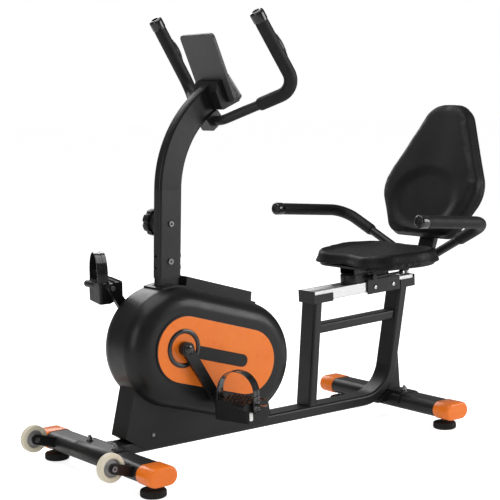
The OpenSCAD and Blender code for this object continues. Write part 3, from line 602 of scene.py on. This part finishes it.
SEAT_FILL_MM = 4                  # the most that a cushion may swell
BACK_FILL_MM = 5
CLOTH_GRID = 5
CLOTH_PRESSURE = 4
CLOTH_FRAMES = 20
CLOTH_SMOOTHING = 3


def inward(p, inset, centre):
    """p moved toward the centre by inset millimetres, never past it."""
    away = p - centre
    return centre + away * max(0.0, 1 - inset / away.length)


def dished(profile, outline, centre, place, fill_rings):
    """A cushion: rings at (inset, height) round its edge, then a filling to the centre."""
    rings = [[place(inward(p, inset, centre), height) for p in outline]
             for inset, height in profile]
    last_inset, last_height = profile[-1]
    for k in range(1, fill_rings + 1):
        keep = 1 - k / (fill_rings + 0.4)
        rings.append([place(centre + (inward(p, last_inset, centre) - centre) * keep, last_height)
                      for p in outline])
    return skin(rings)


def make_seat():
    """The seat pad: a bowl with raised wings, a notch in front and an edge that rolls down."""
    outline = []
    for p in hull_outline(SEAT_CIRCLES, AROUND):
        notch = math.exp(-(p.y / 52) ** 2) if p.x < 0 else 0
        outline.append(Vector((p.x + SEAT_NOTCH * notch, p.y)))

    def place(p, height):
        far = (p - SEAT_CENTRE).length / 160
        bowl = waterfall = wings = 0
        if height > 20:
            middle = math.exp(-(p.y / 90) ** 2)
            waterfall = SEAT_WATERFALL * smooth((-p.x - 70) / 80) * middle
        if height > 30:
            bowl = SEAT_BOWL * (1 - smooth(far * 1.1))
            wings = SEAT_WINGS * smooth((abs(p.y) - 60) / 100)
        z = PAD_BOTTOM + height - bowl - waterfall + wings - PAD_LOWEST
        return SEAT_FRAME @ Vector(((SEAT_MID + p.x) * MM, p.y * MM, z * MM))

    under = [(60, 9), (24, 8), (10, 6), (3, 3.1)]
    side = [(0.8, 3), (-0.6, 4), (-0.6, 6), (1.6, 11), (4.0, 18), (5.6, 25), (6.8, 30)]
    rim = [(8.6, 33.4), (11.5, 35.6), (15, 36), (19, 35.3), (24, 33.2), (31, 31), (40, 29.6),
           (52, 28.6)]
    return piece("seat_cushion", "seat", "seat_vinyl", "seat_cover",
                 *dished(under + side + rim, outline, SEAT_CENTRE, place, 14), sharp=60,
                 replaces=["seat_pad"])


def back_place(p, depth):
    """A point of the backrest, p across and up it and depth behind its front."""
    return BACK_FRAME @ Vector((depth * MM, p.x * MM, p.y * MM))


def make_back():
    """The backrest's pad, and the plastic shell behind it."""
    outline = hull_outline(BACK_CIRCLES, AROUND)

    def hollow(p):
        """The oval recess at the small of the back, and a shallow groove above it."""
        recess = smooth((1.12 - math.hypot(p.x / 122, (p.y - 2) / 90)) / 0.3)
        groove = math.exp(-(p.x / 60) ** 2) * smooth((p.y - 60) / 60)
        return BACK_HOLLOW * recess + BACK_GROOVE * groove

    def place(p, depth):
        return back_place(p, depth + (hollow(p) if depth < BACK_SIDES_FROM else 0))

    rim = [(60, 37.5), (8, 37.8), (3, 37.2), (0.8, 35.6), (0, 33), (0, 26), (0.5, 18), (1.4, 12),
           (2.4, 8.5), (4.2, 5.6), (7.0, 3.4), (10.5, 2.2), (16, 1.5), (24, 1.2), (34, 1.1)]
    cushion = piece("back_cushion", "seat", "vinyl", "seat_cover",
                    *dished(rim, outline, BACK_CENTRE, place, 22), sharp=60,
                    replaces=["backrest_pad"])
    shell_rim = [(30, 38.2), (7, 38.2), (4.6, 39), (4.2, 41), (5, 44), (8, 46.6), (14, 48.6),
                 (24, 49.6), (30, 49.4), (33, 48.2), (37, 48.0), (40, 49.4), (52, 49.9)]
    piece("back_shell", "seat", "shroud", "shroud_plastic",
          *dished(shell_rim, outline, BACK_CENTRE, back_place, 8), sharp=35,
          replaces=["backrest_shell"])
    return cushion


def evaluated_mesh(obj):
    """A copy of the object's mesh with its modifiers applied."""
    depsgraph = bpy.context.evaluated_depsgraph_get()
    return bpy.data.meshes.new_from_object(obj.evaluated_get(depsgraph))


def swollen(cushion, cap_mm, freedom):
    """Lets a cushion fill out under Blender's cloth pressure, and keeps the shape that it takes.

    No point moves more than cap_mm, times its freedom from 0 to 1.
    """
    trial = bpy.data.objects.new("trial", cushion.data.copy())
    bpy.context.collection.objects.link(trial)
    grid = trial.modifiers.new("grid", "REMESH")
    grid.mode = "VOXEL"
    grid.voxel_size = CLOTH_GRID * MM
    even = evaluated_mesh(trial)
    trial.modifiers.clear()
    trial.data = even
    cloth = trial.modifiers.new("cloth", "CLOTH")
    cloth.settings.use_pressure = True
    cloth.settings.uniform_pressure_force = CLOTH_PRESSURE
    cloth.settings.effector_weights.gravity = 0
    cloth.point_cache.frame_start = 1
    cloth.point_cache.frame_end = CLOTH_FRAMES
    scene = bpy.context.scene
    for step in range(1, CLOTH_FRAMES + 1):
        scene.frame_set(step)
    blown = evaluated_mesh(trial)
    scene.frame_set(1)
    trial.modifiers.clear()
    for before, after in zip(even.vertices, blown.vertices):
        move = (after.co - before.co) * freedom(before.co)
        limit = cap_mm * MM * freedom(before.co)
        before.co += move if move.length <= limit else move.normalized() * limit
    bm = bmesh.new()
    bm.from_mesh(even)
    for _ in range(CLOTH_SMOOTHING):
        bmesh.ops.smooth_vert(bm, verts=bm.verts, factor=0.5, use_axis_x=True, use_axis_y=True,
                              use_axis_z=True)
    bm.to_mesh(even)
    bm.free()
    finer = trial.modifiers.new("finer", "SUBSURF")
    finer.levels = 1
    finer.render_levels = 1
    result = evaluated_mesh(trial)
    bpy.data.objects.remove(trial)
    for p in result.polygons:
        p.use_smooth = True
    result.materials.clear()
    result.materials.append(cushion.data.materials[0])
    cushion.data = result
    return cushion


def seat_freedom(p):
    """Free on the seat's top and sides, held where it rests on the pan."""
    return smooth(((SEAT_FRAME.inverted() @ p).z / MM - PAD_BOTTOM - 5) / 10)


def back_freedom(p):
    """Free on the backrest's front and sides, held where it rests on the shell."""
    return smooth((32 - (BACK_FRAME.inverted() @ p).x / MM) / 12)


# Grips

BAR_START = Vector((352, 50, 870))
BAR_CORNER = Vector((455, 225, 948))
BAR_TOP = Vector((341, 217, 1126))
BAR_BEND = 48
BAR_GRIP_FROM = 0.5               # where the foam begins, as a part of the way to the corner
ARM_TIP = Vector((812, 298, 595))
ARM_CORNER = Vector((1071, 293, 574))
ARM_INNER = Vector((1096, 15, 438))
ARM_BEND = 60
ARM_GRIP_TO = 0.41                # where the foam ends, as a part of the way from the corner
GRIP_R = 17
SENSOR_FACING = Vector((0.84, 0, 0.54))     # from the handlebar toward the rider
SENSOR_START = 0.33               # as a part of the way from the corner to the top
SENSOR_SPAN = 0.45
SENSOR_SWELL = 9.5
SENSOR_STEPS = 24
PLATE_STEPS = (3, 21)             # the first and last of those steps that the plate covers


def make_grip(name, body, points, radius, side, node):
    """A foam sleeve along the points, and the glossy cap on its last one."""
    points = [Vector((p.x, side * p.y, p.z)) for p in points]
    path = divided(bend_path(points, radius))
    total = sum((b - a).length for a, b in zip(path, path[1:]))

    def foam_r(s):
        """Rounded where the foam begins, and a little slimmer under the cap."""
        return GRIP_R - 1.6 * (1 - smooth(s / 5)) - 0.5 * smooth((s - total + 24) / 4)

    sleeve = piece(name + "_foam", body, "foam", "grip_foam", *tube(path, foam_r, 40),
                   sharp=50, replaces=[node])
    out = (path[-1] - path[-2]).normalized()
    turn = out.to_track_quat("Z", "Y").to_matrix().to_4x4()
    here = Matrix.Translation(at(*path[-1])) @ turn
    cap = [(16.4, -17), (17.8, -16.6), (18.3, -14), (18.3, 4), (17.9, 7), (16.6, 9.6), (14.2, 11.2),
           (10.4, 11.8), (9.2, 11.4), (8.6, 9.0), (0, 8.6)]
    piece(name + "_cap", body, "gloss_black", "gloss_black_plastic", *lathe(cap, here, 56),
          sharp=35, replaces=[node])


def make_grips():
    for side, word in SIDES:
        low = BAR_START.lerp(BAR_CORNER, BAR_GRIP_FROM)
        make_grip(word + "_hand_grip", "frame", [low, BAR_CORNER, BAR_TOP], BAR_BEND, side,
                  "handlebar_grips")
        inner = ARM_CORNER.lerp(ARM_INNER, ARM_GRIP_TO)
        make_grip(word + "_arm_grip", "seat", [inner, ARM_CORNER, ARM_TIP], ARM_BEND, side,
                  "armrest_grips")


def oval(middle, out, across, rise, half, steps):
    """A ring of two half widths, out and across, that stands rise out from the middle."""
    angles = [math.pi * j / (steps / 2) for j in range(steps)]
    return [at(*(middle + out * (rise + half[0] * math.cos(a)) + across * (half[1] * math.sin(a))))
            for a in angles]


def make_sensors():
    """A swelling on the rider's side of each hand grip, with a bright contact plate along it."""
    first, last = PLATE_STEPS
    for side, word in SIDES:
        low = Vector((BAR_CORNER.x, side * BAR_CORNER.y, BAR_CORNER.z))
        along = Vector((BAR_TOP.x, side * BAR_TOP.y, BAR_TOP.z)) - low
        out = SENSOR_FACING - along * (SENSOR_FACING.dot(along) / along.length_squared)
        out.normalize()
        across = along.normalized().cross(out)
        rings, plate = [], []
        for k in range(SENSOR_STEPS + 1):
            s = k / SENSOR_STEPS
            swell = SENSOR_SWELL * math.sin(math.pi * s) ** 0.8
            middle = low + along * (SENSOR_START + SENSOR_SPAN * s)
            rings.append(oval(middle, out, across, swell, (13.2, 12.6), 32))
            if first <= k <= last:
                narrow = 0.3
                if first < k < last:
                    narrow = math.sin(math.pi * (k - first) / (last - first)) ** 0.3
                plate.append(oval(middle, out, across, swell + 12.0, (2.2, 7.5 * narrow), 24))
        piece(word + "_sensor_housing", "frame", "gloss_black", "dark_plastic", *skin(rings),
              sharp=50)
        piece(word + "_sensor_plate", "frame", "bright_steel", "bright_steel", *skin(plate),
              sharp=40, replaces=["pulse_sensors"])


# Pedals and cranks

STRAP_MIDDLE = (8.5, -171.5)      # in the pedal's frame
STRAP_TURN = 20.74                # about the pedal's Z, as the pedal slants
STRAP_R = 52.7
STRAP_Z = 31                      # the centre of its arch
ARCH_STEPS = 36
RUNG_Z = (-9, 1, 12, 24)          # the bars between the strap's holes
STUD_ROWS = (-206, -192, -180, -168, -156, -144, -132, -119)
STUD_PLACES = (0.13, 0.38, 0.62, 0.87)
PEDAL_INNER = -113                # the pedal's inner end; the outer one is PEDAL_WIDTH beyond
PEDAL_WIDTH = 102
REFLECTOR_MID = (14, -25.5)       # in the pedal's XZ


def pedal_frame(side):
    """The pedal's frame: X to its rear, Z up from its spindle, and the bike's outside at -Y."""
    angle = math.radians(CRANK_ANGLE)
    x = CRANK[0] - side * CRANK_LEN * math.cos(angle)
    z = CRANK[1] + side * CRANK_LEN * math.sin(angle)
    return Matrix.Translation(at(x, 0, z)) @ Matrix.Diagonal((1, -side, 1, 1))


def swept_band(path, section):
    """Rings along a path of (y, z) points, their shape given as (x, outward) points."""
    rings = []
    for i, p in enumerate(path):
        step = (path[min(i + 1, len(path) - 1)] - path[max(i - 1, 0)]).normalized()
        out = Vector((step.y, -step.x))
        rings.append([(x, p.x + out.x * h, p.y + out.y * h) for x, h in section])
    return rings


def rung_end(y, half_z, z):
    """The corners of one face of a strap's rung, round its middle height."""
    return [(x, y, z + h) for x, h in
            ((-13, -half_z), (13, -half_z), (13, half_z), (-13, half_z))]


def make_straps():
    """Foot straps: an arch over the pedal, rungs on its outside and a free tail."""
    path = [Vector((STRAP_R, z)) for z in (9.8, 20)]
    for k in range(ARCH_STEPS + 1):
        angle = math.pi * k / ARCH_STEPS
        path.append(Vector((STRAP_R * math.cos(angle), STRAP_Z + STRAP_R * math.sin(angle))))
    path += [Vector((-STRAP_R, z)) for z in (20, 8, -4, -12)]
    band = [(-14, 0), (-14, 1.4), (-13, 2.3), (-3.4, 2.3), (-2.4, 1.0), (2.4, 1.0), (3.4, 2.3),
            (13, 2.3), (14, 1.4), (14, 0), (12.5, -0.1), (-12.5, -0.1)]
    tail = [[(-w, y, 2.2), (w, y, 2.2), (w, y, 4.4), (-w, y, 4.4)]
            for y, w in ((-53.6, 10), (-78, 10), (-81, 8), (-82, 5))]
    for side, word in SIDES:
        middle = Matrix.Translation((STRAP_MIDDLE[0] * MM, STRAP_MIDDLE[1] * MM, 0))
        turn = Matrix.Rotation(math.radians(STRAP_TURN), 4, "Z")
        to = pedal_frame(side) @ middle @ turn
        arch = skin([placed(to, ring) for ring in swept_band(path, band)])
        end = skin([placed(to, ring) for ring in tail])
        rungs = [skin([placed(to, rung_end(-54.4, 2.2, z)), placed(to, rung_end(-57.0, 1.4, z))])
                 for z in RUNG_Z]
        piece(word + "_pedal_strap", word + "_pedal", "gloss_black", "gloss_black_plastic",
              *join(arch, end, *rungs), sharp=30, replaces=["strap_" + word])


def make_pedal_details():
    """Rows of grip studs on the pedals' treads, and reflectors on their outer ends."""
    stud = [(3.6, 0), (3.4, 1.6), (2.4, 3.4), (1.2, 4.0), (0, 4.1)]
    x_mid, z_mid = REFLECTOR_MID
    for side, word in SIDES:
        to = pedal_frame(side)
        studs = []
        for y in STUD_ROWS:
            outward = (PEDAL_INNER - y) / PEDAL_WIDTH
            for across in STUD_PLACES:
                x = (-25 + 27 * outward) + (72 - 4 * outward) * across
                tread_z = 7.6 + (x + 32) * 4 / 108
                here = to @ Matrix.Translation((x * MM, y * MM, tread_z * MM))
                studs.append(lathe(stud, here, 14))
        piece(word + "_pedal_studs", word + "_pedal", "dark_plastic", "dark_plastic",
              *join(*studs), sharp=50)
        outline = hull_outline([(11, -34, 2), (17, -34, 2), (11, -17, 2), (17, -17, 2)], 40)
        rings = []
        for y, k in ((-214.6, 1), (-216.6, 1), (-217.4, 0.9), (-217.4, 0.6)):
            rings.append(placed(to, [(x_mid + (p.x - x_mid) * k, y, z_mid + (p.y - z_mid) * k)
                                     for p in outline]))
        piece(word + "_pedal_reflector", word + "_pedal", "reflector", "light_grey_plastic",
              *skin(rings), sharp=30)


def make_crank_caps():
    """Domed caps over the crank bolts."""
    dome = [(9.3, 0), (12.5, 0.1), (13.4, 1.2), (13.0, 3.6), (11, 5.4), (7.6, 6.4), (0, 6.8)]
    for side, word in SIDES:
        here = facing_out(Matrix.Translation(at(CRANK[0], side * CRANK_CAP_Y, CRANK[1])), side)
        piece(word + "_crank_cap", "crank_set", "gloss_black", "gloss_black_plastic",
              *lathe(dome, here, 48))


# Shroud

HUB_RING = 43.5                   # the ring's middle radius, round the crank
HUB_RING_STEPS = 18


def make_hub_rings():
    """The dark raised ring round the crank on each side panel."""
    section = []
    for k in range(HUB_RING_STEPS):
        a = 2 * math.pi * k / HUB_RING_STEPS
        section.append((HUB_RING + 5.4 * math.cos(a), 4.3 + 1.9 * math.sin(a)))
    for side, word in SIDES:
        here = facing_out(Matrix.Translation(at(CRANK[0], side * SHROUD_HALF, CRANK[1])), side)
        piece(word + "_hub_ring", "frame", "gloss_black", "gloss_black_plastic",
              *hoop(section, here, 96), sharp=60)


# Stabilisers, feet and wheels

RIB_PITCH = 3.6
THREAD_PITCH = 1.5


def stadium(grow):
    """Points round the stabiliser's oval section with its straight top and bottom, grown."""
    half_w, half_h = STABILISER_HALF
    points = 64
    r = half_h + grow
    reach = half_w - half_h
    angles = [2 * math.pi * (k + 0.5) / points for k in range(points)]
    return [Vector((math.copysign(reach, math.cos(a)) + r * math.cos(a), r * math.sin(a)))
            for a in angles]


def make_end_caps():
    """Domed caps that sleeve over the ends of both stabilisers."""
    steps = [(-36, -0.3), (-36, 1.2), (-34.5, 1.8), (-6, 2.0), (11, 2.0), (14.5, 1.6),
             (17.3, 0.4), (19.1, -1.4), (19.8, -3.6), (20, -7)]
    for x, where in ((0, "front"), (WHEELBASE, "rear")):
        for side, word in SIDES:
            rings = []
            for along, grow in steps:
                rings.append([at(x + p.x, side * (STABILISER_END + along), STABILISER_Z + p.y)
                              for p in stadium(grow)])
            piece(f"{where}_{word}_end_cap", "frame", "orange", "orange_plastic", *skin(rings),
                  sharp=45, replaces=["stabiliser_caps"])


def make_feet():
    """Levelling feet: a ribbed rubber pad, its threaded stud and a lock nut."""
    profile = [(0, 0), (27, 0), (28.5, 0.6), (30.5, 1.8), (31.6, 3.6)]
    for k in range(3):
        z = 4.6 + RIB_PITCH * k
        profile += [(32, z), (32, z + 1.8), (30.8, z + 2.3), (30.8, z + 3.1)]
    profile += [(31.4, 15.8), (30.2, 17.6), (27, 18.8), (14, 19.2), (12.4, 20), (12, 23.2),
                (11, 24), (5, 24)]
    stud = [(5.6, 23.5), (5.6, 24)]
    for k in range(6):
        stud += [(5.7, 24.3 + THREAD_PITCH * k), (4.9, 25.0 + THREAD_PITCH * k)]
    stud += [(4.9, 53)]
    nut = [(9.4, 26.0), (9.8, 26.4), (9.8, 31.4), (9.4, 32)]
    for x, where, y in ((0, "front", FOOT_Y[0]), (WHEELBASE, "rear", FOOT_Y[1])):
        for side, word in SIDES:
            here = Matrix.Translation(at(x, side * y, 0))
            body = f"{where}_{word}_foot"
            node = f"foot_{where}_{word}"
            piece(body + "_pad", body, "rubber", "foot_rubber", *lathe(profile, here, 72),
                  sharp=35, replaces=[node])
            piece(body + "_stud", body, "steel", "steel", *lathe(stud, here, 28),
                  sharp=50, replaces=[node])
            piece(body + "_nut", body, "steel", "steel", *lathe(nut, here, 6), sharp=20)


def make_wheels():
    """Transport wheels: a tyre with a groove round it, on a grey hub."""
    tyre = [(22, -6), (24, -8.6), (31.5, -9), (33.6, -8.2), (34.8, -6.4), (35, -4), (35, -1.4),
            (34.5, -0.9), (34.5, 0.9), (35, 1.4), (35, 4), (34.8, 6.4), (33.6, 8.2), (31.5, 9),
            (24, 8.6), (22, 6)]
    hub = [(4.1, -8.8), (9.4, -8.8), (10.2, -8), (10.4, -4.4), (12, -3.4), (20, -3.2),
           (22.3, -5.8), (23.2, -5.8), (23.2, 5.8), (22.3, 5.8), (20, 3.2), (12, 3.4),
           (10.4, 4.4), (10.2, 8), (9.4, 8.8), (4.1, 8.8)]
    x, y, z = WHEEL_AT
    for side, word in SIDES:
        here = Matrix.Translation(at(x, side * y, z)) @ Matrix.Rotation(math.radians(90), 4, "X")
        node = "transport_wheel_" + word
        for part, profile, look, slot in (("tyre", tyre, "ivory", "ivory_plastic"),
                                          ("hub", hub, "light_grey", "light_grey_plastic")):
            piece(f"{word}_wheel_{part}", word + "_wheel", look, slot, *hoop(profile, here, 72),
                  sharp=35, replaces=[node])


# Console and small fittings

CONSOLE_FRAME = turned((383, 918), -22.4)
SCREEN_FRAME = (CONSOLE_FRAME @ Matrix.Translation((42 * MM, 0, -8.6 * MM))
                @ Matrix.Rotation(math.radians(-14.7), 4, "Y"))
LEVER_FROM = (316, -46, 15.2)     # the ferrule's ends, in the seat rail's frame
LEVER_TO = (341, -47, 16.1)
CARRIAGE_BOLTS = (222, 292)       # along the rail
CARRIAGE_BOLT_Y = 35
CARRIAGE_BOLT_Z = -17


def rounded_slab(to, half_y, z0, z1, corner, layers):
    """Rings of a rounded rectangle in YZ at (x, inset) layers, in a frame whose X is its normal."""
    mid = (z0 + z1) / 2
    half_z = (z1 - z0) / 2
    corners = [(sy * (half_y - corner), sz * (half_z - corner), corner)
               for sy in (-1, 1) for sz in (-1, 1)]
    outline = hull_outline(corners, 96)
    centre = Vector((0, 0))
    rings = []
    for x, inset in layers:
        loop = [inward(p, inset, centre) for p in outline]
        rings.append([to @ Vector((x * MM, q.x * MM, (mid + q.y) * MM)) for q in loop])
    return rings


def make_console_details():
    """The grey band round the console's edge, and the glass of its blank screen."""
    band = rounded_slab(SCREEN_FRAME, 46, 0, 84, 14,
                        [(-12.5, 0.4), (-12.5, -0.7), (-12, -0.9), (-4.5, -0.9), (-4, -0.7),
                         (-4, 0.4)])
    piece("screen_side_band", "frame", "grey_panel", "grey_plastic",
          *skin(band + band[:1], closed_ends=False), sharp=35)
    pane = rounded_slab(SCREEN_FRAME, 34.6, 28.4, 73.6, 4,
                        [(-1.15, 0), (-0.4, 0), (-0.2, 0.4), (-0.2, 1.2)])
    piece("screen_glass", "frame", "glass", "gloss_black_plastic", *skin(pane), sharp=30)


def make_bolt_socket_shade():
    """Thin dark hexagons on the heads of the post's and the wheels' bolts, painted shade that
    stands in for their hex socket recesses.

    The knob's bolt has its head on the left only, since the knob sits on its right.
    """
    # a flat gloss-black hexagon just proud of the bolt face: painted shade where the socket's
    # recess would be
    socket_shade = [(3.6, -0.2), (3.6, 0.25), (2.9, 0.3), (0, 0.05)]
    slope = math.tan(math.radians(POST_LEAN))
    both = (-1, 1)
    places = [(POST[0] + (z - POST[1]) * slope, POST_BOLT_Y, z, sides)
              for z, sides in ((POST_BOLT_Z, both), (KNOB_Z, (-1,)))]
    places.append((WHEEL_AT[0], WHEEL_BOLT_Y, WHEEL_AT[2], both))
    sockets = []
    for x, y, z, sides in places:
        for side in sides:
            here = facing_out(Matrix.Translation(at(x, side * y, z)), side)
            sockets.append(lathe(socket_shade, here, 6))
    piece("bolt_socket_shade", "frame", "gloss_black", "steel", *join(*sockets), sharp=20)


def make_lever_end():
    """A bright ferrule on the seat lock lever's handle."""
    start, finish = placed(SEAT_FRAME, [LEVER_FROM, LEVER_TO])
    here = Matrix.Translation(start) @ (finish - start).to_track_quat("Z", "Y").to_matrix().to_4x4()
    shape = [(6.6, 0), (7.0, 0.5), (7.0, 5), (6.6, 5.6), (6.6, 17), (7.0, 17.6), (7.0, 24),
             (5.6, 25.6), (0, 26)]
    piece("lever_end", "lock_lever", "bright_steel", "steel", *lathe(shape, here, 40), sharp=35)


def make_carriage_bolts():
    """Button heads on both sides of the seat's carriage."""
    head = [(5.6, 0), (5.8, 0.6), (5.4, 2.2), (4.2, 3.2), (2.6, 3.5), (2.5, 1.6), (0, 1.6)]
    heads = []
    for side in (-1, 1):
        for u in CARRIAGE_BOLTS:
            middle = Matrix.Translation((u * MM, side * CARRIAGE_BOLT_Y * MM, CARRIAGE_BOLT_Z * MM))
            heads.append(lathe(head, facing_out(SEAT_FRAME @ middle, side), 28))
    piece("carriage_bolts", "seat", "bright_steel", "steel", *join(*heads), sharp=35)


make_camera()
make_studio()
dress_nodes()
swollen(make_seat(), SEAT_FILL_MM, seat_freedom)
swollen(make_back(), BACK_FILL_MM, back_freedom)
make_grips()
make_sensors()
make_straps()
make_pedal_details()
make_crank_caps()
make_hub_rings()
make_end_caps()
make_feet()
make_wheels()
make_console_details()
make_carriage_bolts()
make_lever_end()
make_bolt_socket_shade()
